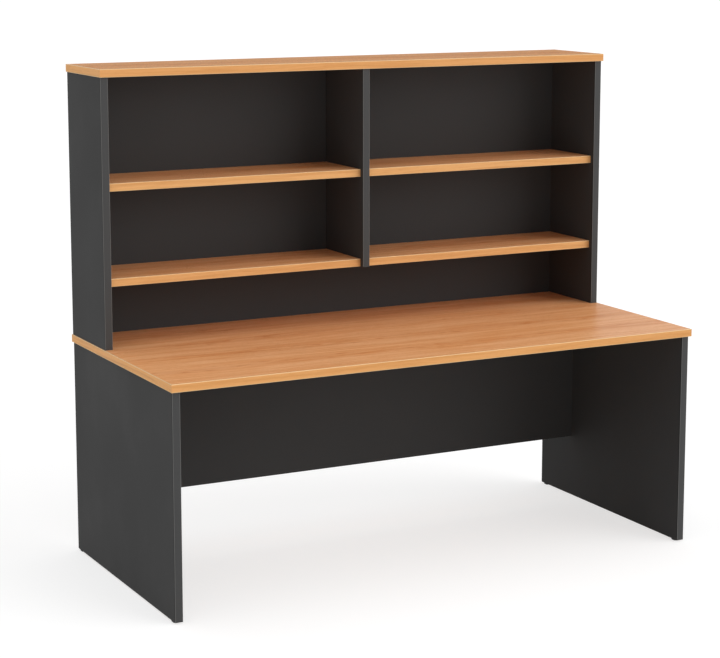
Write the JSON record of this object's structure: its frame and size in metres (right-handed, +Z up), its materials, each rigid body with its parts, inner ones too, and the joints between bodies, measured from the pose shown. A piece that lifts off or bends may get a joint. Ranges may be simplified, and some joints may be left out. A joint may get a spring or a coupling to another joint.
{
  "type": "student desk with hutch",
  "caption": "Long slab-ended student desk with a modesty panel and a full-width hutch of open shelves parted by a central divider, standing on levelling feet.",
  "frame": {"origin": "on the floor under the middle of the worktop, feet screwed in", "axes": "+X along the desk to the sitter's right, +Y from the sitter's side to the hutch's back, +Z up"},
  "size_m": [1.83, 0.85, 1.59],
  "materials": {
    "cherry_melamine": "fine horizontal wood grain, low sheen, on particleboard",
    "cherry_edging": "wood-print ABS, smooth low sheen",
    "charcoal_melamine": "plain charcoal, fine pearl texture, low sheen, on particleboard",
    "charcoal_edging": "plain ABS, smooth low sheen",
    "black_plastic": "moulded, matte",
    "zinc_steel": "zinc plated",
    "beech": "bare"
  },
  "bodies": {
    "desk": {"desk_biscuits": "beech", "end_panel_left": "charcoal_melamine", "end_panel_left_edging_front": "charcoal_edging", "end_panel_left_edging_rear": "charcoal_edging", "end_panel_right": "charcoal_melamine", "end_panel_right_edging_front": "charcoal_edging", "end_panel_right_edging_rear": "charcoal_edging", "foot_sleeves": "zinc_steel", "hutch_back_panel": "charcoal_melamine", "hutch_biscuits": "beech", "hutch_divider": "charcoal_melamine", "hutch_divider_edging_front": "charcoal_edging", "hutch_divider_edging_lower": "charcoal_edging", "hutch_dowels": "beech", "hutch_side_left": "charcoal_melamine", "hutch_side_left_edging_front": "charcoal_edging", "hutch_side_left_edging_rear": "charcoal_edging", "hutch_side_right": "charcoal_melamine", "hutch_side_right_edging_front": "charcoal_edging", "hutch_side_right_edging_rear": "charcoal_edging", "hutch_top_board": "cherry_melamine", "hutch_top_edging_front": "cherry_edging", "hutch_top_edging_left": "cherry_edging", "hutch_top_edging_rear": "cherry_edging", "hutch_top_edging_right": "cherry_edging", "modesty_panel": "charcoal_melamine", "modesty_panel_edging": "charcoal_edging", "shelf_lower_left": "cherry_melamine", "shelf_lower_left_edging": "cherry_edging", "shelf_lower_right": "cherry_melamine", "shelf_lower_right_edging": "cherry_edging", "shelf_upper_left": "cherry_melamine", "shelf_upper_left_edging": "cherry_edging", "shelf_upper_right": "cherry_melamine", "shelf_upper_right_edging": "cherry_edging", "worktop_board": "cherry_melamine", "worktop_edging_front": "cherry_edging", "worktop_edging_left": "cherry_edging", "worktop_edging_rear": "cherry_edging", "worktop_edging_right": "cherry_edging"},
    "foot_front_left": {"foot_base_front_left": "black_plastic", "foot_stud_front_left": "zinc_steel"},
    "foot_rear_left": {"foot_base_rear_left": "black_plastic", "foot_stud_rear_left": "zinc_steel"},
    "foot_front_right": {"foot_base_front_right": "black_plastic", "foot_stud_front_right": "zinc_steel"},
    "foot_rear_right": {"foot_base_rear_right": "black_plastic", "foot_stud_rear_right": "zinc_steel"}
  },
  "joints": [
    {"name": "foot_front_left_level", "type": "slide", "parent": "desk", "child": "foot_front_left", "axis": [0, 0, -1], "range_m": [0, 0.012]},
    {"name": "foot_rear_left_level", "type": "slide", "parent": "desk", "child": "foot_rear_left", "axis": [0, 0, -1], "range_m": [0, 0.012]},
    {"name": "foot_front_right_level", "type": "slide", "parent": "desk", "child": "foot_front_right", "axis": [0, 0, -1], "range_m": [0, 0.012]},
    {"name": "foot_rear_right_level", "type": "slide", "parent": "desk", "child": "foot_rear_right", "axis": [0, 0, -1], "range_m": [0, 0.012]}
  ]
}
